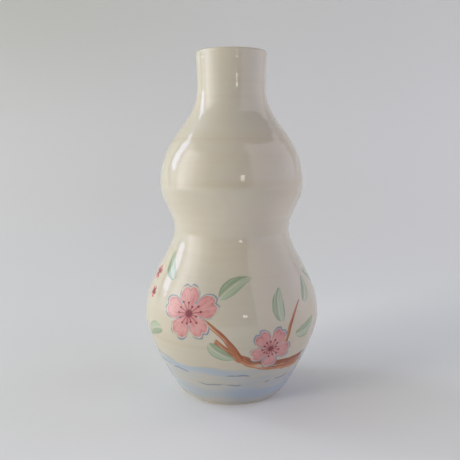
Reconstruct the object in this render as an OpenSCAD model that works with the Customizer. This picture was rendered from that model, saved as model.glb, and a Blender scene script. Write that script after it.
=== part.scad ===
// Double-gourd bud vase: one thrown and trimmed clay wall under three coats of glaze.
// The axis is Z, the foot stands on Z = 0 and every length is in millimetres.

/* [Heights] */
// Height of the widest part of the lower bulb above the table
belly_h = 47.5; // [42:0.5:54]
// Rise from there to the waist
waist_rise = 50; // [44:0.5:58]
// Rise from the waist to the widest part of the upper bulb
bulb_rise = 27; // [22:0.5:34]
// Rise from there to the narrowest part of the neck
neck_rise = 55.5; // [48:0.5:64]
// Rise from there to the top of the lip
lip_rise = 20; // [14:0.5:28]

/* [Outside diameters] */
// Bare clay foot
foot_d = 62.6; // [56:0.2:68]
// Widest part of the lower bulb
belly_d = 104; // [96:0.5:112]
// Waist between the bulbs
waist_d = 68.2; // [62:0.2:76]
// Widest part of the upper bulb
bulb_d = 84; // [78:0.5:92]
// Narrowest part of the neck
neck_d = 39.6; // [34:0.2:46]
// Lip
lip_d = 41; // [36:0.2:48]

/* [Wall] */
// Wall of the lower bulb with its glaze
belly_wall = 5; // [4:0.1:6.5]
// Wall at the lip with its glaze
lip_wall = 3.4; // [2.8:0.1:4.4]
// Floor over the foot recess with its glaze
floor_t = 6; // [4.5:0.1:8]

/* [Glaze] */
// Thickness of each coat of glaze
glaze_t = 0.4; // [0.2:0.05:0.7]
// Height of the foot that is wiped bare of glaze
bare_h = 1.2; // [0.9:0.1:2.5]

/* [Foot] */
// Width of the foot ring on the table
foot_ring_w = 5.4; // [4:0.1:8]
// Depth of the recess trimmed inside the foot ring
recess_depth = 3.6; // [2.6:0.1:4.4]
// Corner radius left by the trimming tool in the recess
recess_fillet = 1.6; // [1:0.1:2.2]
// Softened edge on both sides of the foot ring
foot_bevel = 0.5; // [0.2:0.1:0.8]
// Slope of the wall where it leaves the foot, in degrees
foot_slope = 38; // [20:1:60]
// Reach of that slope before the belly takes over
foot_reach = 4; // [2:0.5:10]

/* [Throwing rings] */
// Spacing of the finger rings along the inside of the wall
ring_pitch = 9; // [6:0.5:14]
// Depth of the finger rings
ring_depth = 0.5; // [0.1:0.05:0.9]

/* [Fullness of the curves] */
// How far the belly keeps its width downwards
belly_under_share = 0.28; // [0.1:0.01:0.8]
// How far the inside of the belly keeps its width downwards
bowl_side_share = 0.44; // [0.3:0.01:0.8]
// How far the floor stays level from the axis
bowl_floor_share = 0.68; // [0.4:0.01:0.85]
// How far the belly keeps its width upwards
belly_over_share = 0.43; // [0.1:0.01:0.8]
// How far the waist keeps its width downwards
waist_under_share = 0.24; // [0.1:0.01:0.8]
// How far the waist keeps its width upwards
waist_over_share = 0.4; // [0.1:0.01:0.8]
// How far the upper bulb keeps its width downwards
bulb_under_share = 0.38; // [0.1:0.01:0.8]
// How far the upper bulb keeps its width upwards
bulb_over_share = 0.53; // [0.1:0.01:0.8]
// How far the neck keeps its width downwards
neck_under_share = 0.41; // [0.1:0.01:0.8]
// How far the neck keeps its width upwards
neck_over_share = 0.74; // [0.1:0.01:0.9]
// How far the lip keeps its width downwards
lip_under_share = 0.3; // [0.1:0.01:0.8]

/* [Hidden] */
$fn = 120;

// Steps along each curve and round each small arc
curve_steps = 24;
arc_steps = 8;

// Bare clay under the glaze: wall thicknesses, radii and levels
belly_clay = belly_wall - 2 * glaze_t;
lip_clay = lip_wall - 2 * glaze_t;
foot_r = foot_d / 2;
belly_r = belly_d / 2 - glaze_t;
waist_r = waist_d / 2 - glaze_t;
bulb_r = bulb_d / 2 - glaze_t;
neck_r = neck_d / 2 - glaze_t;
lip_r = lip_d / 2 - glaze_t;
recess_r = foot_r - foot_ring_w;
waist_z = belly_h + waist_rise;
bulb_z = waist_z + bulb_rise;
neck_z = bulb_z + neck_rise;
vase_h = neck_z + lip_rise;
lip_z = vase_h - lip_wall / 2;
floor_z = recess_depth + floor_t - 2 * glaze_t;
bowl_r = belly_r - belly_clay;

// Places on the outside where the wall stands upright, from the belly up to the lip
stations = [[belly_r, belly_h], [waist_r, waist_z], [bulb_r, bulb_z], [neck_r, neck_z], [lip_r, lip_z]];
over_shares = [belly_over_share, waist_over_share, bulb_over_share, neck_over_share];
under_shares = [waist_under_share, bulb_under_share, neck_under_share, lip_under_share];

// Point on a cubic curve of four control points, at the share t of its run
function on_curve(c, t) =
    let (u = 1 - t)
    u * u * u * c[0] + 3 * u * u * t * c[1] + 3 * u * t * t * c[2] + t * t * t * c[3];

// Unit vector along the same curve
function along(c, t) =
    let (u = 1 - t, d = u * u * (c[1] - c[0]) + 2 * u * t * (c[2] - c[1]) + t * t * (c[3] - c[2]))
    d / norm(d);

// Unit vector square to the curve, on the right of its run, which is away from the hollow
function outward(c, t) =
    let (d = along(c, t))
    [d[1], -d[0]];

// Curve from one station up to the next
function rise_curve(i) =
    let (low = stations[i], high = stations[i + 1], rise = [0, high[1] - low[1]])
    [low, low + over_shares[i] * rise, high - under_shares[i] * rise, high];

// Curves of the clay's outside: from the bare foot to the belly, then from station to station
foot_top = [foot_r, bare_h];
foot_curve = [
    foot_top,
    foot_top + foot_reach * [cos(foot_slope), sin(foot_slope)],
    [belly_r, belly_h - belly_under_share * (belly_h - bare_h)],
    stations[0]
];
rise_curves = [for (i = [0:len(stations) - 2]) rise_curve(i)];
outside_curves = concat([foot_curve], rise_curves);

// Curve of the bowl inside the belly, from the axis out along the floor and up the side
bowl_curve = [
    [0, floor_z],
    [bowl_floor_share * bowl_r, floor_z],
    [bowl_r, belly_h - bowl_side_share * (belly_h - floor_z)],
    [bowl_r, belly_h]
];

// Points of the clay's outside, set off by the distance out, from the foot to the lip
function outside(out) = [
    for (i = [0:len(outside_curves) - 1], k = [(i == 0 ? 0 : 1):curve_steps])
        let (c = outside_curves[i], t = k / curve_steps)
        on_curve(c, t) + out * outward(c, t)
];

// Clay left between the outside and the inside at the share s of the way from belly to lip
function clay_at(s) = belly_clay + s * (lip_clay - belly_clay);

// The plain inside from the axis to the lip, as pairs of a point and its outward direction
bowl_walk = [
    for (k = [0:curve_steps])
        let (t = k / curve_steps)
        [on_curve(bowl_curve, t), outward(bowl_curve, t)]
];
rise_walk = [
    for (i = [0:len(rise_curves) - 1], k = [1:curve_steps])
        let (t = k / curve_steps, side = outward(rise_curves[i], t))
        [on_curve(rise_curves[i], t) - clay_at((i + t) / len(rise_curves)) * side, side]
];
walk = concat(bowl_walk, rise_walk);

// Distance walked along the inside from the axis to each of its points
function walked_to(k) = k == 0 ? 0 : walked_to(k - 1) + norm(walk[k][0] - walk[k - 1][0]);
walked = [for (k = [0:len(walk) - 1]) walked_to(k)];

// Depth of the finger rings at a point of the walk, fading out in the last ring below the lip
function ring_at(k) =
    let (left = walked[len(walked) - 1] - walked[k])
    ring_depth * (1 - cos(360 * walked[k] / ring_pitch)) / 2 * min(1, left / ring_pitch);

// Points of the clay's inside, set into the hollow by the distance in, from the axis to the lip
function inside(in) = [for (k = [0:len(walk) - 1]) walk[k][0] + (ring_at(k) - in) * walk[k][1]];

// Points of a round lip of the thickness w, over the turn from one angle to another
function lip_arc(w, from, to) = [
    for (k = [0:arc_steps])
        let (a = from + (to - from) * k / arc_steps)
        [lip_r - lip_clay / 2, lip_z] + w / 2 * [cos(a), sin(a)]
];

// Points of the recess under the floor, set off by the distance down, from the axis to the ring
function recess(down) = concat(
    [[0, recess_depth - down]],
    [
        for (k = [0:arc_steps])
            let (a = 90 - 90 * k / arc_steps)
            [recess_r - recess_fillet, recess_depth - recess_fillet]
                + (recess_fillet - down) * [cos(a), sin(a)]
    ]
);

// Corners of the foot ring's underside, from the recess to the outside
foot_ring = [
    [recess_r, foot_bevel],
    [recess_r + foot_bevel, 0],
    [foot_r - foot_bevel, 0],
    [foot_r, foot_bevel]
];

// The same points in the other order
function reversed(points) = [for (k = [len(points) - 1:-1:0]) points[k]];

// Thrown wall with its bulbs, round lip, finger rings and trimmed foot ring
module clay_body() {
    color("#c9b596")
        rotate_extrude()
            polygon(concat(
                recess(0),
                foot_ring,
                outside(0),
                lip_arc(lip_clay, 0, 180),
                reversed(inside(0))
            ));
}

// Coat on the outside, from the wiped foot to the crown of the lip
module outer_glaze() {
    color("#d8d0c0")
        rotate_extrude()
            polygon(concat(
                outside(glaze_t),
                lip_arc(lip_wall, 0, 90),
                reversed(concat(outside(0), lip_arc(lip_clay, 0, 90)))
            ));
}

// Coat on the inside, from the crown of the lip to the floor
module liner_glaze() {
    color("#cdc4b2")
        rotate_extrude()
            polygon(concat(
                inside(0),
                reversed(lip_arc(lip_clay, 90, 180)),
                lip_arc(lip_wall, 90, 180),
                reversed(inside(glaze_t))
            ));
}

// Coat in the foot recess, wiped back level with the outside
module recess_glaze() {
    color("#d3cbba")
        rotate_extrude()
            polygon(concat(
                recess(0),
                [[recess_r, bare_h], [recess_r - glaze_t, bare_h]],
                reversed(recess(glaze_t))
            ));
}

clay_body();
outer_glaze();
liner_glaze();
recess_glaze();
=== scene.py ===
"""Double-gourd bud vase: glaze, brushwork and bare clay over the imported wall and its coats."""

import math
from collections import namedtuple

import bmesh
import bpy
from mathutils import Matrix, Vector
from mathutils.kdtree import KDTree


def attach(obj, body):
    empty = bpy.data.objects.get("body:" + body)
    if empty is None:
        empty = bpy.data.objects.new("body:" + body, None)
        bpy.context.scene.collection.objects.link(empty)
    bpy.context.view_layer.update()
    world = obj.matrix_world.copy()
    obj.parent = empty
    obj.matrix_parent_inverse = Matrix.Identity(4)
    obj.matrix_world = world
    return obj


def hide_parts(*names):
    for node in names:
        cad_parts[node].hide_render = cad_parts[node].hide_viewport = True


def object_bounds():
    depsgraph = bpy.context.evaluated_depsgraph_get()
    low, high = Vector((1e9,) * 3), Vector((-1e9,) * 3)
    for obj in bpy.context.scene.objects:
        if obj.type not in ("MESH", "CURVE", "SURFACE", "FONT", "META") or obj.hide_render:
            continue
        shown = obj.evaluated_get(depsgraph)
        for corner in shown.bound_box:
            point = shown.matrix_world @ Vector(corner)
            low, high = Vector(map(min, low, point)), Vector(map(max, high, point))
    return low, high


bl_info = {
    "name": "Double-Gourd Bud Vase",
    "version": (1, 0, 0),
    "blender": (4, 5, 0),
    "location": "View3D > Sidebar > Bud Vase",
    "description": "Glazes and paints a thrown double-gourd bud vase and sets up its studio",
    "category": "Object",
}

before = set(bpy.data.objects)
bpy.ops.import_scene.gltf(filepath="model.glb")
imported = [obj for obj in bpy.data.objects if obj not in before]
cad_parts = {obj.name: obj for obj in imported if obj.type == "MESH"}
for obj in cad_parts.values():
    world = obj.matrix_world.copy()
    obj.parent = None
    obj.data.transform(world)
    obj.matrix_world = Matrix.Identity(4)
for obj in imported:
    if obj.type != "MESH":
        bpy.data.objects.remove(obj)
CAD_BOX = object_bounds()

MM = 0.001
TAU = 2 * math.pi
BODY = "root"
UV_NAME = "OFBake"

# Rings of a node closer than this are one ring, points of a spun coat closer than this are one
# point, and a coat this close to the clay touches it
MERGE_WITHIN = 0.02 * MM
WELD_WITHIN = 0.001 * MM
TOUCHES_WITHIN = 0.05 * MM

# Edges that turn more than this stay sharp
CREASE = math.radians(35)

# Share of the UV map kept for the clay side of a coat, and the margin left round the whole map
MAP_STRIP = 0.04
MAP_MARGIN = 0.001

# Shine of the glaze, and how far the relief of each finish stands up
GLAZE_ROUGHNESS = 0.07
GLAZE_IOR = 1.52
GLAZE_RELIEF = 0.05 * MM
CLAY_RELIEF = 0.1 * MM

# Flat faces along the bends of the stage
BEND_STEPS = 32

# Petals of a blossom, and stamens round its heart
PETALS = 5.0
STAMENS = 13.0


def srgb(red, green, blue):
    """A colour given in bytes, as Blender's scene-linear numbers."""

    def linear(byte):
        share = byte / 255
        return share / 12.92 if share <= 0.04045 else ((share + 0.055) / 1.055) ** 2.4

    return (linear(red), linear(green), linear(blue))


def length(name, description, default):
    return bpy.props.FloatProperty(
        name=name, description=description, default=default, unit="LENGTH", precision=5
    )


def angle(name, description, degrees):
    return bpy.props.FloatProperty(
        name=name, description=description, default=math.radians(degrees), subtype="ANGLE"
    )


def share(name, description, default):
    return bpy.props.FloatProperty(
        name=name, description=description, default=default, min=0, subtype="FACTOR"
    )


def amount(name, description, default):
    return bpy.props.FloatProperty(name=name, description=description, default=default)


def colour(name, description, red, green, blue):
    default = srgb(red, green, blue)
    return bpy.props.FloatVectorProperty(
        name=name, description=description, default=default, size=3, subtype="COLOR", min=0
    )


class VaseSizes(bpy.types.PropertyGroup):
    """Sizes of the thrown surface and of the brushwork on it."""

    spin_steps: bpy.props.IntProperty(
        name="Facets", description="Flat faces round the vase", default=192, min=48
    )
    ring_pitch: length("Throwing ring pitch", "Rise of the wall for one turn of the wheel", 5.2 * MM)
    ring_depth: length("Throwing ring depth", "Depth of the rings left at the widest part", 0.09 * MM)
    line_width: length("Liner width", "Width of a line of the liner brush", 1.25 * MM)
    wobble: length("Hand wobble", "How far the brush strays from a drawn line", 0.7 * MM)
    wash_top: length("Foot wash", "Reach of the blue wash up the wall from the foot", 28 * MM)
    lip_warmth: length("Thin lip", "Depth below the crown over which the glaze runs thin", 1.1 * MM)
    # Painted light: a paler band of glaze colour above the waist, which lifts the shade there
    painted_light_height: length("Painted light band", "Height above the floor of the middle of the painted light band", 110 * MM)
    painted_light_reach: length("Reach of painted light band", "Distance over which it fades both ways", 15 * MM)
    lip_height: length("Lip height", "From the groove under the lip up to the crown", 4.0 * MM)
    lip_groove: length("Lip groove", "Depth of the groove that sets off the lip", 0.16 * MM)


class VaseColours(bpy.types.PropertyGroup):
    """Colours of the clay, the glaze and the pigments."""

    bare_clay: colour("Bare clay", "Fired clay where the foot is wiped", 210, 204, 188)
    clay_sand: colour("Clay sand", "Darker grains in the bare clay", 186, 174, 152)
    cream: colour("Cream glaze", "Clear glaze over the pale clay", 196, 187, 168)
    # Also laid along the throwing lines, partly as painted shade of the rings
    warm_cream: colour("Warm cream", "Where the glaze lies thin", 188, 171, 146)
    cool_cream: colour("Cool cream", "Where the glaze lies thick", 192, 186, 170)
    # Painted light: the colour of the paler band above the waist that lifts its shade
    painted_light_cream: colour("Painted light cream", "Paler cream painted under the upper bulb to lift the shade of the waist", 204, 195, 178)
    pink: colour("Petal pink", "Thin pink wash", 206, 152, 148)
    deep_pink: colour("Deep pink", "Loaded pink wash", 186, 108, 112)
    heart_red: colour("Heart red", "Centre of a blossom", 116, 44, 54)
    bud_red: colour("Bud red", "Small red flowers", 198, 84, 88)
    sage: colour("Sage", "Thin green wash", 172, 184, 160)
    deep_sage: colour("Deep sage", "Loaded green wash", 122, 142, 112)
    bark: colour("Bark", "Thin brown wash", 196, 138, 96)
    deep_bark: colour("Deep bark", "Loaded brown wash", 142, 66, 36)
    line_blue: colour("Line blue", "Blue-grey of the liner brush", 112, 126, 148)
    wash_blue: colour("Wash blue", "Blue of the banded foot", 164, 176, 190)


class VaseStudio(bpy.types.PropertyGroup):
    """Camera, lamps and backdrop."""

    camera_distance: length("Camera distance", "From the axis of the vase, level", 360 * MM)
    camera_height: length("Camera height", "Above the floor", 150.2 * MM)
    camera_dip: angle("Camera dip", "Tilt of the camera below level", 8.49)
    focal: bpy.props.FloatProperty(
        name="Focal length", description="Lens for a 36 mm wide frame", default=47.55
    )
    shift_x: amount("Sideways framing", "Shift of the frame, in widths", -0.0034)
    shift_y: amount("Upright framing", "Shift of the frame, in widths", -0.0004)
    backdrop: colour("Backdrop", "Seamless paper under and behind the vase", 222, 222, 222)
    # Painted shade: the darker tone of the paper high up on the left
    painted_backdrop_shade: colour("Painted backdrop shade", "Darker paper painted high up on the left, as shade", 202, 203, 197)
    paper_half: length("Paper reach", "From the middle of the paper to either side", 1.1)
    paper_front: length("Paper front", "Front edge of the paper, along Y", -1.3)
    paper_back: length("Paper back", "Upright part of the paper, along Y", 0.75)
    paper_top: length("Paper top", "Height of the paper behind the vase", 0.95)
    paper_bend: length("Paper bend", "Reach of the bend between floor and backdrop", 0.5)
    room_radius: length("Room radius", "Of the pale room round the paper", 4.0)
    room_bend: length("Room bend", "Between the floor and the wall of that room", 2.4)
    room_top: length("Room height", "Height of its wall", 3.4)
    room: amount("Room light", "Strength of the light from the whole room", 1.0)
    gloom: share("Dim room", "Level of the room where neither a glow nor a panel shines", 0.06)
    lamps: amount("Lamps", "Strength of the lamps", 1.0)


# Soft light of the room, in degrees round from the camera's side towards +X and in degrees above level.
# A glow fades away from its middle, faster with focus. A panel has edges of which the right one may be
# softer, and its top falls by the drop for each degree to the right
Glow = namedtuple("Glow", "around up focus strength tint")
Panel = namedtuple("Panel", "left right low high drop edge fade strength tint")

GLOWS = [
    Glow(180, 57, 10, 0.57, (1.0, 1.0, 0.74)),
    Glow(-135, 50, 12, 1.05, (0.95, 1.0, 1.09)),
]
PANELS = [
    Panel(-113, -94, -95, 40, 0.0, 6.0, 6.0, 1.2, (0.95, 1.0, 1.2)),
    Panel(-94, -78, -95, 40, 0.0, 6.0, 6.0, 3.2, (1.0, 1.0, 1.05)),
    Panel(-78, -62, -95, 40, 0.0, 6.0, 6.0, 2.1, (1.0, 1.0, 1.05)),
    Panel(-62, -44, -95, 40, 0.0, 6.0, 8.0, 0.7, (0.97, 1.0, 1.07)),
    Panel(-118, -103, 10.5, 41.5, 0.0, 1.0, 1.0, 2.1, (0.98, 1.1, 1.6)),
    Panel(33, 135, -95, 15, 0.0, 0.8, 20.0, 0.8, (1.02, 1.0, 1.25)),
    Panel(33, 130, 15, 59, 0.23, 0.8, 12.0, 0.85, (1.07, 1.0, 1.13)),
]

# Wide soft lamps that fill in without a reflection of their own, and the side of each
Fill = namedtuple("Fill", "name place power tint")

FILLS = [
    Fill("window_fill", (-1.2, -0.8, 0.52), 9.1, (1.03, 1.0, 0.9)),
    Fill("back_window_fill", (-1.3, 0.6, 0.5), 4.0, (0.84, 1.0, 0.82)),
    Fill("right_fill", (1.2, -0.4, 0.15), 2.0, (1.06, 1.0, 1.2)),
    Fill("back_right_fill", (0.9, 0.3, 0.6), 1.5, (0.92, 1.0, 1.1)),
]
FILL_SIZE = 0.5

# The small lamp that leaves the row of small highlights: its direction in degrees, as above, and its
# distance from the middle of the vase, at which all lamps are aimed
Pinpoint = namedtuple("Pinpoint", "around up distance size power tint")

PINPOINT = Pinpoint(17, 9.5, 1.6, 0.16, 0.5, srgb(255, 250, 240))
MIDDLE = Vector((0, 0, 0.1))


# Brush marks, listed one by one. around is in degrees from the front, towards +X, height above the
# floor, turn in degrees anticlockwise from level as seen from outside, bend the sag as a share of the
# length
Blossom = namedtuple("Blossom", "around height size turn red")
Stroke = namedtuple("Stroke", "around height length width turn bend")

BLOSSOMS = [
    Blossom(-27, 58 * MM, 16 * MM, 12, 0),
    Blossom(25, 38 * MM, 12.5 * MM, 50, 0),
    Blossom(-72, 74 * MM, 4.6 * MM, 20, 1),
    Blossom(-66, 64 * MM, 3.6 * MM, 50, 1),
    Blossom(100, 56 * MM, 14 * MM, 30, 0),
    Blossom(128, 76 * MM, 4.4 * MM, 10, 1),
    Blossom(168, 46 * MM, 15 * MM, 5, 0),
    Blossom(-122, 60 * MM, 12 * MM, 40, 0),
]
LEAVES = [
    Stroke(-8, 66 * MM, 21 * MM, 8.5 * MM, 34, 0.10),
    Stroke(-14, 43 * MM, 17 * MM, 8 * MM, -36, -0.10),
    Stroke(-45, 73 * MM, 19 * MM, 7.5 * MM, 122, 0.12),
    Stroke(-48, 47 * MM, 18 * MM, 8 * MM, 205, -0.12),
    Stroke(32, 53 * MM, 19 * MM, 8 * MM, 84, 0.12),
    Stroke(43, 44 * MM, 20 * MM, 8 * MM, 22, -0.12),
    Stroke(54, 60 * MM, 16 * MM, 7 * MM, 66, -0.10),
    Stroke(112, 66 * MM, 18 * MM, 8 * MM, 40, 0.12),
    Stroke(84, 66 * MM, 16 * MM, 7.5 * MM, 140, -0.10),
    Stroke(116, 46 * MM, 18 * MM, 8 * MM, -30, 0.10),
    Stroke(-176, 62 * MM, 19 * MM, 8 * MM, 55, 0.12),
    Stroke(150, 58 * MM, 17 * MM, 7.5 * MM, 150, 0.12),
    Stroke(-172, 36 * MM, 17 * MM, 7.5 * MM, -20, -0.10),
    Stroke(-106, 68 * MM, 17 * MM, 7.5 * MM, 48, 0.10),
    Stroke(-136, 52 * MM, 18 * MM, 7.5 * MM, 205, 0.12),
]
TWIGS = [
    Stroke(58, 26 * MM, 64 * MM, 9 * MM, 163, 0.10),
    Stroke(6, 33 * MM, 45 * MM, 4.2 * MM, 139, -0.10),
    Stroke(140, 34 * MM, 52 * MM, 6 * MM, 150, 0.12),
    Stroke(35, 40 * MM, 26 * MM, 3.2 * MM, 62, 0.10),
    Stroke(-140, 40 * MM, 30 * MM, 4.6 * MM, 60, 0.12),
    Stroke(-160, 34 * MM, 34 * MM, 4 * MM, 55, -0.10),
]


class Wire:
    """A node socket that adds, multiplies and compares like a number."""

    def __init__(self, tree, socket):
        self.tree = tree
        self.socket = socket

    def maths(self, operation, *others):
        node = self.tree.nodes.new("ShaderNodeMath")
        node.operation = operation
        for slot, value in zip(node.inputs, (self, *others)):
            plug(self.tree, slot, value)
        return Wire(self.tree, node.outputs[0])

    def __add__(self, other):
        return self.maths("ADD", other)

    __radd__ = __add__

    def __sub__(self, other):
        return self.maths("SUBTRACT", other)

    def __rsub__(self, other):
        return self.maths("MULTIPLY_ADD", -1.0, other)

    def __mul__(self, other):
        return self.maths("MULTIPLY", other)

    __rmul__ = __mul__

    def __truediv__(self, other):
        return self.maths("DIVIDE", other)

    def __pow__(self, other):
        return self.maths("POWER", other)

    def __abs__(self):
        return self.maths("ABSOLUTE")

    def most(self, other):
        return self.maths("MAXIMUM", other)

    def least(self, other):
        return self.maths("MINIMUM", other)

    def smooth(self, low, high):
        """0 at low, 1 at high and an easy slope between."""
        node = self.tree.nodes.new("ShaderNodeMapRange")
        node.interpolation_type = "SMOOTHSTEP"
        for name, value in (("Value", self), ("From Min", low), ("From Max", high)):
            plug(self.tree, node.inputs[name], value)
        return Wire(self.tree, node.outputs[0])

    def blend(self, low, high):
        """low at 0 and high at 1, in a straight line."""
        return (high - low) * self + low


def plug(tree, slot, value):
    """Gives a node's input a number, a colour or another node's output."""
    if isinstance(value, Wire):
        tree.links.new(value.socket, slot)
    else:
        slot.default_value = value


def vector(tree, x, y, z):
    node = tree.nodes.new("ShaderNodeCombineXYZ")
    for slot, value in zip(node.inputs, (x, y, z)):
        plug(tree, slot, value)
    return Wire(tree, node.outputs[0])


def split(tree, value):
    node = tree.nodes.new("ShaderNodeSeparateXYZ")
    plug(tree, node.inputs[0], value)
    return [Wire(tree, socket) for socket in node.outputs]


def noise(tree, place, scale, detail=2.0, roughness=0.5):
    """Soft noise from 0 to 1 at a place."""
    node = tree.nodes.new("ShaderNodeTexNoise")
    values = {"Vector": place, "Scale": scale, "Detail": detail, "Roughness": roughness}
    for name, value in values.items():
        plug(tree, node.inputs[name], value)
    return Wire(tree, node.outputs[0])


def chance(tree, number):
    """A number from 0 to 1 that depends on another and on nothing else."""
    node = tree.nodes.new("ShaderNodeTexWhiteNoise")
    node.noise_dimensions = "1D"
    plug(tree, node.inputs["W"], number)
    return Wire(tree, node.outputs["Value"])


def mix(tree, part, low, high):
    """One colour over another, by a share."""
    node = tree.nodes.new("ShaderNodeMix")
    node.data_type = "RGBA"
    slots = {slot.identifier: slot for slot in node.inputs}
    plug(tree, slots["Factor_Float"], part)
    plug(tree, slots["A_Color"], full(low))
    plug(tree, slots["B_Color"], full(high))
    return Wire(tree, next(slot for slot in node.outputs if slot.identifier == "Result_Color"))


def full(tint):
    """A colour with its alpha, where it is written as three numbers."""
    return tint if isinstance(tint, Wire) else (*tint, 1.0)


def object_place(tree):
    return Wire(tree, tree.nodes.new("ShaderNodeTexCoord").outputs["Object"])


class Group:
    """A shader node group while it is made: its inputs are wires, and put() feeds its outputs."""

    def __init__(self, name, vectors, numbers, outputs):
        self.tree = bpy.data.node_groups.new(name, "ShaderNodeTree")
        kinds = [(socket, "NodeSocketVector") for socket in vectors]
        kinds += [(socket, "NodeSocketFloat") for socket in numbers]
        for socket, kind in kinds:
            self.tree.interface.new_socket(name=socket, in_out="INPUT", socket_type=kind)
        for socket in outputs:
            self.tree.interface.new_socket(name=socket, in_out="OUTPUT", socket_type="NodeSocketFloat")
        self.source = self.tree.nodes.new("NodeGroupInput")
        self.sink = self.tree.nodes.new("NodeGroupOutput")

    def take(self, *names):
        return [Wire(self.tree, self.source.outputs[name]) for name in names]

    def put(self, **wires):
        for name, wire in wires.items():
            plug(self.tree, self.sink.inputs[name], wire)


def use(tree, group, **values):
    """Places a group in a tree with its own values, and returns its outputs by name."""
    node = tree.nodes.new("ShaderNodeGroup")
    node.node_tree = group
    for name, value in values.items():
        plug(tree, node.inputs[name], value)
    return {socket.name: Wire(tree, socket) for socket in node.outputs}


def group_once(name, build):
    """The node group of that name, built the first time that it is asked for."""
    return bpy.data.node_groups.get(name) or build(name)


def blossom_group(name):
    """Five loose petals with a dark heart, stamens and a blue-grey outline a little off the pink."""
    outputs = ["Petals", "Depth", "Lines", "Heart", "Cover", "Red"]
    group = Group(name, ["Place", "Form", "Drift"], ["Line"], outputs)
    place, form, drift, line = group.take("Place", "Form", "Drift", "Line")
    tree = group.tree
    far_x, far_y, seed = split(tree, place)
    size, turn, red = split(tree, form)
    drift_x, drift_y, press = split(tree, drift)
    x, y = far_x + drift_x, far_y + drift_y
    fine = size / (12 * MM)
    reach = (x * x + y * y).maths("SQRT")
    spread = reach / size.most(MM)
    round_it = y.maths("ARCTAN2", x)
    sector = (round_it + turn) * (PETALS / TAU)
    petal = sector.maths("FLOOR").maths("FLOORED_MODULO", PETALS)
    lean = abs(sector.maths("FRACT") - 0.5)
    luck = chance(tree, petal + seed * 7.3)
    edge = (luck * 0.2 + 0.84) * (1 - (lean * 2) ** 2.8 * 0.46) - lean.smooth(0.1, 0.0) * 0.09
    past = reach - edge * size
    between = (0.5 - lean) * reach * (TAU / PETALS)
    streak = noise(tree, vector(tree, lean * 18, reach * 90, petal + seed), 1.0, 3.0, 0.6)
    pool = past.smooth(-2.6 * MM, -0.3 * MM)
    parted = between.smooth(0.15 * MM, 0.7 * MM).most(spread.smooth(0.4, 0.3))
    fill = past.smooth(0.35 * MM, -0.35 * MM) * parted
    width = line * press.blend(0.2, 1.0) * fine.least(1.0)
    rim = abs(past - fine * 0.9 * MM).smooth(width, width * 0.3)
    vein = between.smooth(width, width * 0.3) * past.smooth(0.6 * MM, -0.6 * MM)
    vein *= spread.smooth(0.3, 0.45)
    hairs = round_it * (STAMENS / TAU) + seed
    hair_luck = chance(tree, hairs.maths("FLOOR").maths("FLOORED_MODULO", STAMENS) + seed)
    hair_side = abs(hairs.maths("FRACT") - 0.5) * reach * (TAU / STAMENS)
    hair_end = size * hair_luck.blend(0.26, 0.46)
    hair = hair_side.smooth(0.34 * MM, 0.12 * MM) * reach.smooth(hair_end + 0.2 * MM, hair_end)
    from_tip = (hair_side * hair_side + (reach - hair_end) ** 2.0).maths("SQRT")
    dot = from_tip.smooth(0.8 * MM, 0.45 * MM)
    core = (spread + press * 0.05).smooth(0.2, 0.13)
    loaded = (streak - 0.5) * 2.6 + (press - 0.5) * 1.3 + pool * 0.4
    held = size.smooth(0.0, MM)
    group.put(
        Petals=fill * held * streak.smooth(0.2, 0.45).blend(0.55, 1.0),
        Depth=loaded + spread.smooth(0.6, 0.15) * 0.4 + 0.24,
        Lines=rim.most(vein * 0.8) * press.smooth(0.32, 0.52) * held,
        Heart=core.most((hair * 0.75).most(dot)) * held,
        Cover=past.smooth(1.4 * MM, 0.4 * MM) * held,
        Red=red,
    )
    return group.tree


def stroke_group(name, draw):
    """A brush stroke of some form. draw() gets its local wires and returns its wash and its load."""
    group = Group(name, ["Place", "Form", "Drift"], [], ["Wash", "Depth"])
    place, form, drift = group.take("Place", "Form", "Drift")
    tree = group.tree
    run_along, aside, seed = split(tree, place)
    long, wide, _ = split(tree, form)
    drift_x, drift_y, _ = split(tree, drift)
    along, off = run_along + drift_x, aside + drift_y
    run = (along / long.most(MM)).most(0.0).least(1.0)
    wash, depth = draw(tree, along, off, run, long, wide, seed)
    group.put(Wash=wash * long.smooth(0.0, MM), Depth=depth)
    return group.tree


def leaf_form(tree, along, off, run, long, wide, seed):
    """A pointed leaf in two strokes, thin and loaded, with a line of bare glaze between them."""
    skew = run ** 0.75
    half = (skew * (1 - skew) * 4) ** 0.85 * wide * 0.5
    beyond = abs(off) - half
    ends = along.smooth(-0.2 * MM, 0.8 * MM) * (along - long).smooth(0.2 * MM, -0.8 * MM)
    rib = abs(off).smooth(0.12 * MM, 0.5 * MM).most(run.smooth(0.55, 0.85))
    grain = noise(tree, vector(tree, along * 60, off * 900, seed), 1.0, 2.0)
    dry = grain.smooth(0.3, 0.52).blend(0.45, 1.0)
    wash = beyond.smooth(0.35 * MM, -0.35 * MM) * ends * rib * run.smooth(0.35, 0.9).blend(1.0, dry)
    pool = beyond.smooth(-1.4 * MM, -0.1 * MM) * 0.3
    return wash, off.smooth(-0.4 * MM, 0.4 * MM) * 0.5 + (grain - 0.5) * 1.9 + pool + 0.1


def twig_form(tree, along, off, run, long, wide, seed):
    """A dry-brushed branch that tapers, in thin and loaded brown with streaks of bare glaze."""
    knots = noise(tree, vector(tree, along * 90, seed, 0.0), 1.0, 1.0)
    side = off - (knots - 0.5) * wide * 0.35
    half = wide * 0.5 * run.blend(1.0, 0.3) * knots.blend(0.7, 1.25)
    ends = along.smooth(-0.8 * MM, 0.8 * MM) * (along - long).smooth(0.8 * MM, -0.8 * MM)
    grain = noise(tree, vector(tree, along * 45, side * 1100, seed), 1.0, 3.0, 0.6)
    wash = (abs(side) - half).smooth(0.3 * MM, -0.3 * MM) * ends * grain.smooth(0.33, 0.43)
    return wash, (grain - 0.44) * 4.2 - side / wide.most(MM) * 0.9 + 0.35


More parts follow.
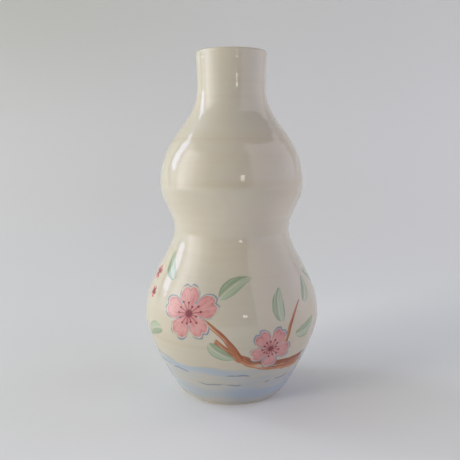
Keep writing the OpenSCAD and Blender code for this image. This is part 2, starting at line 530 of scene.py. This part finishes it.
def wash_group(name):
    """A blue band round the foot, laid with a wide brush on the wheel, with liner strokes over it."""
    group = Group(name, ["Place"], ["Top", "Line"], ["Wash", "Lines"])
    place, top, line = group.take("Place", "Top", "Line")
    tree = group.tree
    x, y, z = split(tree, place)
    slow = noise(tree, vector(tree, x * 14, y * 14, 3.0), 1.0, 2.0)
    quick = noise(tree, vector(tree, x * 55, y * 55, 8.0), 1.0, 2.0)
    edge = z - (top + (slow - 0.5) * 14 * MM)
    hairs = noise(tree, vector(tree, x * 14, y * 14, z * 620), 1.0, 3.0, 0.6)
    cloud = noise(tree, vector(tree, x * 24, y * 24, z * 70), 1.0, 2.0)
    loaded = hairs.smooth(0.32, 0.62) * 0.3 + cloud.smooth(0.42, 0.62) * 0.55 + 0.12
    body = edge.smooth(0.8 * MM, -1.2 * MM) * loaded
    deep = edge.smooth(-9 * MM, -19 * MM) * (hairs.smooth(0.3, 0.7) * 0.3 + 0.12)
    foot = z.smooth(0.5 * MM, 8 * MM).blend(0.35, 1.0)

    def stroke_line(height, wave, breaks, press):
        lift = edge - (height + (quick - 0.5) * wave)
        return abs(lift).smooth(line * 0.62, line * 0.2) * breaks * press

    first = stroke_line(0.3 * MM, 2.0 * MM, slow.smooth(0.4, 0.5), 0.55)
    second = stroke_line(-4.5 * MM, 7.0 * MM, quick.smooth(0.47, 0.53), 0.85)
    third = stroke_line(-11 * MM, 8.0 * MM, quick.smooth(0.52, 0.46), 0.8)
    group.put(Wash=(body + deep).least(0.95) * foot, Lines=first.most(second).most(third))
    return group.tree


def throwing_group(name):
    """Fine level lines that the fingers and the rib leave, and the slow swell of a thrown wall."""
    group = Group(name, ["Place"], [], ["Lines", "Swell"])
    (place,) = group.take("Place")
    tree = group.tree
    x, y, z = split(tree, place)
    fine = noise(tree, vector(tree, x * 5, y * 5, z * 900), 1.0, 2.0, 0.6)
    broad = noise(tree, vector(tree, x * 3, y * 3, z * 210), 1.0, 1.0)
    patch = noise(tree, place, 30.0, 2.0)
    group.put(Lines=fine * 0.35 + broad * 0.65, Swell=patch)
    return group.tree


def set_finish(material, tint, roughness, height, relief):
    """Gives a material its colour, its roughness and a Bump from the height of its surface."""
    tree = material.node_tree
    shader = tree.nodes["Principled BSDF"]
    bump = tree.nodes.new("ShaderNodeBump")
    bump.inputs["Distance"].default_value = relief
    plug(tree, bump.inputs["Height"], height)
    plug(tree, shader.inputs["Base Color"], tint)
    plug(tree, shader.inputs["Roughness"], roughness)
    tree.links.new(bump.outputs[0], shader.inputs["Normal"])
    return shader


def glazed(material, tint, height):
    """Sets a gloss glaze on a material."""
    shader = set_finish(material, tint, GLAZE_ROUGHNESS, height, GLAZE_RELIEF)
    shader.inputs["IOR"].default_value = GLAZE_IOR


def new_material(name):
    material = bpy.data.materials.new(name)
    material.use_nodes = True
    return material


def cream_glaze(tree, place):
    """The colour and height of unpainted glaze: mottled cream, warm where thin, and a paler band of
    painted light under the upper bulb.
    """
    colours = bpy.context.scene.vase_colours
    sizes = bpy.context.scene.vase_sizes
    z = split(tree, place)[2]
    wheel = use(tree, group_once("Throwing Lines", throwing_group), Place=place)
    mottle = noise(tree, place, 70.0, 3.0)
    tint = mix(tree, wheel["Swell"].smooth(0.35, 0.7), colours.cream, colours.cool_cream)
    # The warm cream along the throwing lines is partly glaze lying thin on their ridges and partly
    # painted shade of the rings
    tint = mix(tree, wheel["Lines"].smooth(0.5, 0.7) * 0.38, tint, colours.warm_cream)
    tint = mix(tree, mottle.smooth(0.5, 0.75) * 0.12, tint, colours.warm_cream)
    # Painted light: a paler band round the vase above the waist, fading both ways, lifts the shade of
    # the waist
    painted_light_band = abs(z - sizes.painted_light_height).smooth(sizes.painted_light_reach, 0.0)
    tint = mix(tree, painted_light_band, tint, colours.painted_light_cream)
    crown = CAD_BOX[1].z
    tint = mix(tree, z.smooth(crown - sizes.lip_warmth, crown) * 0.45, tint, colours.warm_cream)
    return tint, wheel["Lines"] + wheel["Swell"] * 0.6


def layer_wire(tree, name):
    """What a layer of brush marks keeps on the corners of the mesh."""
    node = tree.nodes.new("ShaderNodeAttribute")
    node.attribute_name = name
    return Wire(tree, node.outputs["Vector"])


def drift_wire(tree, place, wobble):
    """How far the hand strays round and up at a place, and how hard it presses from 0 to 1."""
    sideways = noise(tree, place, 95.0, 2.0)
    upwards = noise(tree, place, 83.0, 2.0)
    press = noise(tree, place, 150.0, 1.0)
    return vector(tree, (sideways - 0.5) * 2 * wobble, (upwards - 0.5) * 2 * wobble, press)


def painted_glaze():
    """The outer glaze with its wash, twigs, leaves and blossoms, in the order they are laid."""
    colours = bpy.context.scene.vase_colours
    sizes = bpy.context.scene.vase_sizes
    material = new_material("painted_glaze")
    tree = material.node_tree
    place = object_place(tree)
    tint, height = cream_glaze(tree, place)
    drift = drift_wire(tree, place, sizes.wobble)

    def drawn(layer, group, **values):
        mark, form = layer_wire(tree, place_layer(layer)), layer_wire(tree, form_layer(layer))
        return use(tree, group, Drift=drift, Place=mark, Form=form, **values)

    blossom = drawn("blossom", group_once("Brushed Blossom", blossom_group), Line=sizes.line_width)
    clear = 1 - blossom["Cover"]
    wash_tree = group_once("Banded Foot Wash", wash_group)
    wash = use(tree, wash_tree, Place=place, Top=sizes.wash_top, Line=sizes.line_width)
    tint = mix(tree, wash["Wash"], tint, colours.wash_blue)
    tint = mix(tree, wash["Lines"] * clear * 0.8, tint, colours.line_blue)
    twig_tree = group_once("Dry-Brushed Twig", lambda name: stroke_group(name, twig_form))
    leaf_tree = group_once("Two-Stroke Leaf", lambda name: stroke_group(name, leaf_form))
    laid = (
        ("twig", twig_tree, colours.bark, colours.deep_bark, 0.95),
        ("top_twig", twig_tree, colours.bark, colours.deep_bark, 0.95),
        ("leaf", leaf_tree, colours.sage, colours.deep_sage, 0.9),
        ("top_leaf", leaf_tree, colours.sage, colours.deep_sage, 0.9),
    )
    for layer, group, thin, loaded, strength in laid:
        stroke = drawn(layer, group)
        pigment = mix(tree, stroke["Depth"], thin, loaded)
        tint = mix(tree, stroke["Wash"] * clear * strength, tint, pigment)
    pigment = mix(tree, blossom["Depth"], colours.pink, colours.deep_pink)
    pigment = mix(tree, blossom["Red"], pigment, colours.bud_red)
    tint = mix(tree, blossom["Petals"] * 0.94, tint, pigment)
    tint = mix(tree, blossom["Lines"] * 0.82, tint, colours.line_blue)
    tint = mix(tree, blossom["Heart"] * 0.9, tint, colours.heart_red)
    glazed(material, tint, height)
    return material


def plain_glaze(name):
    material = new_material(name)
    tint, height = cream_glaze(material.node_tree, object_place(material.node_tree))
    glazed(material, tint, height)
    return material


def bare_clay():
    """Fired clay without glaze: sandy, matt and pale."""
    colours = bpy.context.scene.vase_colours
    material = new_material("bare_clay")
    tree = material.node_tree
    place = object_place(tree)
    sand = noise(tree, place, 2600.0, 3.0, 0.7)
    patch = noise(tree, place, 160.0, 2.0)
    grains = sand.smooth(0.35, 0.7) * 0.5 + patch * 0.3
    tint = mix(tree, grains, colours.bare_clay, colours.clay_sand)
    set_finish(material, tint, sand.blend(0.78, 0.95), sand, CLAY_RELIEF)
    return material


def section(node):
    """The points where the node's cross section turns, as a mesh of edges in which X is the radius."""
    wire = bmesh.new()
    wire.from_mesh(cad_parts[node].data)
    for vert in wire.verts:
        vert.co = (math.hypot(vert.co.x, vert.co.y), 0, vert.co.z)
    bmesh.ops.remove_doubles(wire, verts=wire.verts, dist=MERGE_WITHIN)
    return wire


def coat_sides(node):
    """The side of a coat that shows and its side on the clay, as points from the lower end up."""
    clay = section("clay_body")
    tree = KDTree(len(clay.verts))
    for k, vert in enumerate(clay.verts):
        tree.insert(vert.co, k)
    tree.balance()
    clay.free()
    wire = section(node)
    touching = {vert for vert in wire.verts if tree.find(vert.co)[2] < TOUCHES_WITHIN}
    sides = [ordered(set(wire.verts) - touching), ordered(touching)]
    wire.free()
    return sides


def ordered(verts):
    """Places of points that edges join in one open chain, from its lower end."""

    def joined(vert):
        return [edge.other_vert(vert) for edge in vert.link_edges if edge.other_vert(vert) in verts]

    chain = [min((vert for vert in verts if len(joined(vert)) == 1), key=lambda vert: vert.co.z)]
    while ahead := [vert for vert in joined(chain[-1]) if vert not in chain[-2:]]:
        chain.append(ahead[0])
    return [vert.co.copy() for vert in chain]


def eased(chain, cuts):
    """The same chain with points between its own, on a smooth curve through them."""
    points = [chain[0]]
    padded = [2 * chain[0] - chain[1], *chain, 2 * chain[-1] - chain[-2]]
    for before, low, high, after in zip(padded, padded[1:], padded[2:], padded[3:]):
        for k in range(1, cuts + 2):
            t = k / (cuts + 1)
            pull = (low - before) * 0.5, (high - low) * 0.5, (after - high) * 0.5
            start = pull[0] + pull[1]
            end = pull[1] + pull[2]
            points.append(
                low * (2 * t**3 - 3 * t**2 + 1) + high * (3 * t**2 - 2 * t**3)
                + start * (t**3 - 2 * t**2 + t) + end * (t**3 - t**2)
            )
    return points


def thrown(chain, sizes):
    """The chain with the throwing rings and the lip's groove pressed into it, but for its ends."""
    slow_pitch, slow_share = 2.7 * sizes.ring_pitch, 0.6
    drift_rise, drift_turn = 31 * MM, 1.7
    full_radius = 0.65 * CAD_BOX[1].x
    pressed = [chain[0]]
    for low, point, high in zip(chain, chain[1:], chain[2:]):
        up = (high - low).normalized()
        out = Vector((up.z, 0, -up.x))
        drift = math.sin(point.z / drift_rise) * drift_turn
        wave = math.sin(TAU * point.z / sizes.ring_pitch + drift)
        wave += slow_share * math.sin(TAU * point.z / slow_pitch)
        press = wave / (2 + 2 * slow_share) - 0.5
        depth = sizes.ring_depth * min(1, point.x / full_radius) ** 3
        from_groove = (CAD_BOX[1].z - point.z - sizes.lip_height) / MM
        groove = math.exp(-(from_groove**2)) * sizes.lip_groove
        pressed.append(point + out * (depth * press - groove))
    return [*pressed, chain[-1]]


def spun_coat(node, rings):
    """A coat's eased section, spun round the axis, and its layer of the way up, -1 on the clay side."""
    sizes = bpy.context.scene.vase_sizes
    shown, touching = coat_sides(node)
    shown = eased(shown, cuts=1)
    if rings:
        shown = thrown(shown, sizes)
    coat = bmesh.new()
    way = coat.verts.layers.float.new("way")
    loop = [coat.verts.new((0, -point.x, point.z)) for point in shown]
    walked = 0
    for vert, low in zip(loop, [loop[0], *loop]):
        walked += (vert.co - low.co).length
        vert[way] = walked
    for point in reversed(touching):
        loop.append(coat.verts.new((0, -point.x, point.z)))
        loop[-1][way] = -1
    for low, high in zip(loop, loop[1:] + loop[:1]):
        if max(-low.co.y, -high.co.y) > MERGE_WITHIN:
            coat.edges.new((low, high))
    bmesh.ops.spin(
        coat, geom=coat.verts[:] + coat.edges[:], cent=(0, 0, 0), axis=(0, 0, 1), dvec=(0, 0, 0),
        angle=TAU, steps=sizes.spin_steps, use_merge=True, use_duplicate=False,
    )
    bmesh.ops.remove_doubles(coat, verts=coat.verts, dist=WELD_WITHIN)
    bmesh.ops.recalc_face_normals(coat, faces=coat.faces)
    coat.verts.index_update()
    return coat, way


# Where a vertex of a coat lies: radians from the front, way up the wall and distance from the axis
Spot = namedtuple("Spot", "around way radius")


def spots(coat, way):
    return [Spot(math.atan2(v.co.x, -v.co.y), v[way], math.hypot(v.co.x, v.co.y)) for v in coat.verts]


def unroll(coat, places):
    """Lays the shown side flat in the UV map, its seam at the back, and the clay side in a strip."""
    uv = coat.loops.layers.uv.new(UV_NAME)
    top = max(place.way for place in places)
    room = 1 - 2 * MAP_MARGIN
    for face in coat.faces:
        middle = face.calc_center_median()
        home = math.atan2(middle.x, -middle.y) / TAU
        hidden = any(places[vert.index].way < 0 for vert in face.verts)
        for loop in face.loops:
            place = places[loop.vert.index]
            u = home
            if place.radius > MM:
                u = place.around / TAU
                u += round(home - u)
            if hidden:
                v = 0.8 * MAP_STRIP * loop.vert.co.z / CAD_BOX[1].z
            else:
                v = MAP_STRIP + (1 - MAP_STRIP) * place.way / top
            loop[uv].uv = (0.5 + u * room, v * room + MAP_MARGIN)


def place_layer(layer):
    return layer + "_place"


def form_layer(layer):
    return layer + "_form"


def offset(spot, mark, start):
    """Distances along the surface from a mark's start, round the vase and up the wall."""
    round_it = spot.around - math.radians(mark.around)
    return (round_it - TAU * round(round_it / TAU)) * spot.radius, spot.way - start


def stroke_offset(spot, mark, start):
    """Distances along a stroke and aside from its bent spine."""
    x, y = offset(spot, mark, start)
    turn = math.radians(mark.turn)
    along = x * math.cos(turn) + y * math.sin(turn)
    run = min(max(along / mark.length, 0), 1)
    sag = 4 * mark.bend * mark.length * run * (1 - run)
    return along, y * math.cos(turn) - x * math.sin(turn) - sag


def blossom_gap(mark, x, y):
    return math.hypot(x, y) - mark.size * 1.2


def stroke_gap(mark, along, aside):
    beyond = max(-along, along - mark.length, 0)
    return math.hypot(beyond, aside) - mark.width


def lay_marks(coat, places, layer, marks, offset_to, gap_to, form_of):
    """Gives each face in reach of a mark its distances from it and its form, for the brush groups."""
    place_of = coat.loops.layers.float_vector.new(place_layer(layer))
    form = coat.loops.layers.float_vector.new(form_layer(layer))
    shown = [vert for vert in coat.verts if places[vert.index].way >= 0]
    starts = []
    for mark in marks:
        level = min(shown, key=lambda vert: abs(vert.co.z - mark.height))
        starts.append(places[level.index].way)
    # How far up and down a mark can matter: its size or length, with some to spare
    bands = [(start, max(mark[2] * 1.3, 4 * MM)) for start, mark in zip(starts, marks)]
    for face in coat.faces:
        spot = places[face.verts[0].index]
        if min(places[vert.index].way for vert in face.verts) < 0:
            continue
        best, lead = None, 0.0
        for k, (start, band) in enumerate(bands):
            if abs(spot.way - start) < band:
                gap = gap_to(marks[k], *offset_to(spot, marks[k], start))
                if gap < lead:
                    best, lead = k, gap
        if best is None:
            continue
        for loop in face.loops:
            x, y = offset_to(places[loop.vert.index], marks[best], starts[best])
            loop[place_of] = (x, y, best + 1)
            loop[form] = form_of(marks[best])


def finished_piece(coat, name, node, material):
    """Turns a coat into an object that stands for its node."""
    for face in coat.faces:
        face.smooth = True
    for edge in coat.edges:
        edge.smooth = edge.calc_face_angle(0) < CREASE
    mesh = bpy.data.meshes.new(name)
    coat.to_mesh(mesh)
    coat.free()
    piece = bpy.data.objects.new(name, mesh)
    bpy.context.scene.collection.objects.link(piece)
    mesh.materials.append(material)
    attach(piece, BODY)
    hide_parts(node)


class VASE_OT_outer_glaze(bpy.types.Operator):
    """Turn the outer coat of glaze and paint it"""

    bl_idname = "vase.outer_glaze"
    bl_label = "Outer Glaze"

    def execute(self, context):
        coat, way = spun_coat("outer_glaze", rings=True)
        places = spots(coat, way)
        unroll(coat, places)

        def strokes(layer, marks):
            lay_marks(
                coat, places, layer, marks, stroke_offset, stroke_gap,
                lambda mark: (mark.length, mark.width, 0),
            )

        lay_marks(
            coat, places, "blossom", BLOSSOMS, offset, blossom_gap,
            lambda mark: (mark.size, math.radians(mark.turn), mark.red),
        )
        strokes("twig", TWIGS[::2])
        strokes("top_twig", TWIGS[1::2])
        strokes("leaf", LEAVES[::2])
        strokes("top_leaf", LEAVES[1::2])
        finished_piece(coat, "painted_outer_glaze", "outer_glaze", painted_glaze())
        return {"FINISHED"}


class VASE_OT_liner_glaze(bpy.types.Operator):
    """Turn the coat of glaze inside the vase"""

    bl_idname = "vase.liner_glaze"
    bl_label = "Liner Glaze"

    def execute(self, context):
        coat, way = spun_coat("liner_glaze", rings=False)
        unroll(coat, spots(coat, way))
        finish = plain_glaze("inner_glaze")
        finished_piece(coat, "inner_glaze", "liner_glaze", finish)
        return {"FINISHED"}


class VASE_OT_recess_glaze(bpy.types.Operator):
    """Turn the coat of glaze in the foot recess"""

    bl_idname = "vase.recess_glaze"
    bl_label = "Recess Glaze"

    def execute(self, context):
        coat, way = spun_coat("recess_glaze", rings=False)
        unroll(coat, spots(coat, way))
        finish = plain_glaze("foot_glaze")
        finished_piece(coat, "foot_recess_glaze", "recess_glaze", finish)
        return {"FINISHED"}


class VASE_OT_clay_body(bpy.types.Operator):
    """Finish the clay wall, which shows bare at the foot ring"""

    bl_idname = "vase.clay_body"
    bl_label = "Clay Body"

    def execute(self, context):
        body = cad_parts["clay_body"]
        body.data.materials.clear()
        body.data.materials.append(bare_clay())
        return {"FINISHED"}


def lamp(name, place, size, power, tint):
    """A square soft lamp turned to the middle of the vase."""
    data = bpy.data.lights.new(name, "AREA")
    data.energy = power
    data.color = tint
    data.size = size
    thing = bpy.data.objects.new(name, data)
    thing.location = place
    thing.rotation_euler = (MIDDLE - thing.location).to_track_quat("-Z", "Y").to_euler()
    bpy.context.scene.collection.objects.link(thing)
    return thing


def add_camera(studio):
    data = bpy.data.cameras.new("photo_camera")
    data.lens = studio.focal
    data.sensor_width = 36
    data.shift_x = studio.shift_x
    data.shift_y = studio.shift_y
    data.clip_start = 0.01
    thing = bpy.data.objects.new("photo_camera", data)
    thing.location = (0, -studio.camera_distance, studio.camera_height)
    thing.rotation_euler = (math.pi / 2 - studio.camera_dip, 0, 0)
    bpy.context.scene.collection.objects.link(thing)
    bpy.context.scene.camera = thing


def staged(form, name, material):
    """Turns a form into a smooth object of the stage."""
    bmesh.ops.recalc_face_normals(form, faces=form.faces)
    for face in form.faces:
        face.smooth = True
    mesh = bpy.data.meshes.new(name)
    form.to_mesh(mesh)
    form.free()
    mesh.materials.append(material)
    thing = bpy.data.objects.new(name, mesh)
    bpy.context.scene.collection.objects.link(thing)
    return thing


def matt_paper(name, tint):
    material = new_material(name)
    shader = material.node_tree.nodes["Principled BSDF"]
    shader.inputs["Base Color"].default_value = full(tint)
    shader.inputs["Roughness"].default_value = 0.9
    shader.inputs["Specular IOR Level"].default_value = 0.1
    return material


def add_sweep(studio):
    """Floor and backdrop as one sheet of paper with a wide bend."""
    sheet = bmesh.new()
    half, back = studio.paper_half, studio.paper_back
    corners = ((studio.paper_front, 0), (back, 0), (back, studio.paper_top))
    path = [sheet.verts.new((-half, y, z)) for y, z in corners]
    edges = [sheet.edges.new(pair) for pair in zip(path, path[1:])]
    made = bmesh.ops.extrude_edge_only(sheet, edges=edges)
    moved = [item for item in made["geom"] if isinstance(item, bmesh.types.BMVert)]
    bmesh.ops.translate(sheet, verts=moved, vec=(2 * half, 0, 0))
    fold = [
        edge for edge in sheet.edges
        if all(abs(v.co.y - back) < MM and abs(v.co.z) < MM for v in edge.verts)
    ]
    bmesh.ops.bevel(
        sheet, geom=fold, offset=studio.paper_bend, segments=BEND_STEPS, profile=0.5, affect="EDGES",
        material=-1, clamp_overlap=False,
    )
    material = matt_paper("matt_paper", studio.backdrop)
    tree = material.node_tree
    x, _, z = split(tree, object_place(tree))
    # Painted shade: the paper darkens with the height, and more so to the left
    far = z.smooth(100 * MM, 420 * MM) * x.smooth(100 * MM, -400 * MM).blend(0.5, 1.0)
    tint = mix(tree, far, studio.backdrop, studio.painted_backdrop_shade)
    plug(tree, tree.nodes["Principled BSDF"].inputs["Base Color"], tint)
    staged(sheet, "paper_sweep", material)


def add_surround(studio):
    """A round pale room past the paper. Only the camera sees it, so it changes no light."""
    radius, bend, floor = studio.room_radius, studio.room_bend, -2 * MM
    turns = [math.pi / 2 * k / BEND_STEPS for k in range(BEND_STEPS + 1)]
    arc = [(radius - bend + bend * math.sin(t), floor + bend - bend * math.cos(t)) for t in turns]
    shell = bmesh.new()
    profile = [(0, floor), *arc, (radius, studio.room_top)]
    path = [shell.verts.new((reach, 0, z)) for reach, z in profile]
    for pair in zip(path, path[1:]):
        shell.edges.new(pair)
    bmesh.ops.spin(
        shell, geom=shell.verts[:] + shell.edges[:], cent=(0, 0, 0), axis=(0, 0, 1), dvec=(0, 0, 0),
        angle=TAU, steps=96, use_merge=True, use_duplicate=False,
    )
    bmesh.ops.remove_doubles(shell, verts=shell.verts, dist=WELD_WITHIN)
    thing = staged(shell, "pale_room", matt_paper("room_paper", studio.backdrop))
    thing.visible_diffuse = False
    thing.visible_glossy = False
    thing.visible_transmission = False
    thing.visible_shadow = False


def add_room(studio):
    """The light of the whole room, as the glows and panels listed above."""
    world = bpy.data.worlds.new("room")
    bpy.context.scene.world = world
    world.use_nodes = True
    tree = world.node_tree
    coordinates = tree.nodes.new("ShaderNodeTexCoord")
    x, y, z = split(tree, Wire(tree, coordinates.outputs["Generated"]))
    total = (studio.gloom, studio.gloom, studio.gloom)

    def shine(level, tint):
        node = tree.nodes.new("ShaderNodeVectorMath")
        node.operation = "MULTIPLY_ADD"
        node.inputs[0].default_value = tint
        plug(tree, node.inputs[1], vector(tree, level, level, level))
        plug(tree, node.inputs[2], total)
        return Wire(tree, node.outputs[0])

    for glow in GLOWS:
        middle = facing(glow.around, glow.up)
        towards = (x * middle.x + y * middle.y + z * middle.z).most(0.0)
        total = shine(towards ** float(glow.focus) * glow.strength, glow.tint)
    around = x.maths("ARCTAN2", y * -1.0) * math.degrees(1)
    up = z.most(-1.0).least(1.0).maths("ARCSINE") * math.degrees(1)
    for panel in PANELS:
        inside = around.smooth(panel.left - panel.edge, panel.left + panel.edge)
        inside *= around.smooth(panel.right + panel.fade, panel.right - panel.fade)
        inside *= up.smooth(panel.low - panel.edge, panel.low + panel.edge)
        top = (around - panel.left) * -panel.drop + panel.high
        inside *= (up - top).smooth(panel.edge, -panel.edge)
        total = shine(inside * panel.strength, panel.tint)
    plug(tree, tree.nodes["Background"].inputs["Color"], total)
    tree.nodes["Background"].inputs["Strength"].default_value = studio.room


def facing(around, up):
    """Direction from the vase, in degrees round from the camera's side and in degrees above level."""
    around, up = math.radians(around), math.radians(up)
    return Vector((math.sin(around) * math.cos(up), -math.cos(around) * math.cos(up), math.sin(up)))


class VASE_OT_stage(bpy.types.Operator):
    """Set up the paper sweep, the lamps, the room light and the camera"""

    bl_idname = "vase.stage"
    bl_label = "Studio"

    def execute(self, context):
        studio = context.scene.vase_studio
        add_sweep(studio)
        add_surround(studio)
        add_room(studio)
        add_camera(studio)
        for fill in FILLS:
            soft = lamp(fill.name, fill.place, FILL_SIZE, fill.power * studio.lamps, fill.tint)
            soft.visible_glossy = False
        place = facing(PINPOINT.around, PINPOINT.up) * PINPOINT.distance + MIDDLE
        lamp("pinpoint", place, PINPOINT.size, PINPOINT.power * studio.lamps, PINPOINT.tint)
        context.scene.view_settings.view_transform = "Standard"
        return {"FINISHED"}


class VASE_PT_maker(bpy.types.Panel):
    """Buttons for each piece and the sizes and colours they use"""

    bl_idname = "VASE_PT_maker"
    bl_label = "Bud Vase"
    bl_space_type = "VIEW_3D"
    bl_region_type = "UI"
    bl_category = "Bud Vase"

    def draw(self, context):
        for operator in OPERATORS:
            self.layout.operator(operator.bl_idname)
        for group in (getattr(context.scene, name) for name in GROUPS):
            box = self.layout.box()
            for name in group.bl_rna.properties.keys():
                if name not in ("rna_type", "name"):
                    box.prop(group, name)


GROUPS = {"vase_sizes": VaseSizes, "vase_colours": VaseColours, "vase_studio": VaseStudio}
OPERATORS = (
    VASE_OT_outer_glaze,
    VASE_OT_liner_glaze,
    VASE_OT_recess_glaze,
    VASE_OT_clay_body,
    VASE_OT_stage,
)


def register():
    for kind in (*GROUPS.values(), *OPERATORS, VASE_PT_maker):
        bpy.utils.register_class(kind)
    for name, kind in GROUPS.items():
        setattr(bpy.types.Scene, name, bpy.props.PointerProperty(type=kind))


def unregister():
    for name in GROUPS:
        delattr(bpy.types.Scene, name)
    for kind in reversed((*GROUPS.values(), *OPERATORS, VASE_PT_maker)):
        bpy.utils.unregister_class(kind)


def main():
    register()
    bpy.ops.vase.outer_glaze()
    bpy.ops.vase.liner_glaze()
    bpy.ops.vase.recess_glaze()
    bpy.ops.vase.clay_body()
    bpy.ops.vase.stage()


if __name__ == "__main__":
    main()
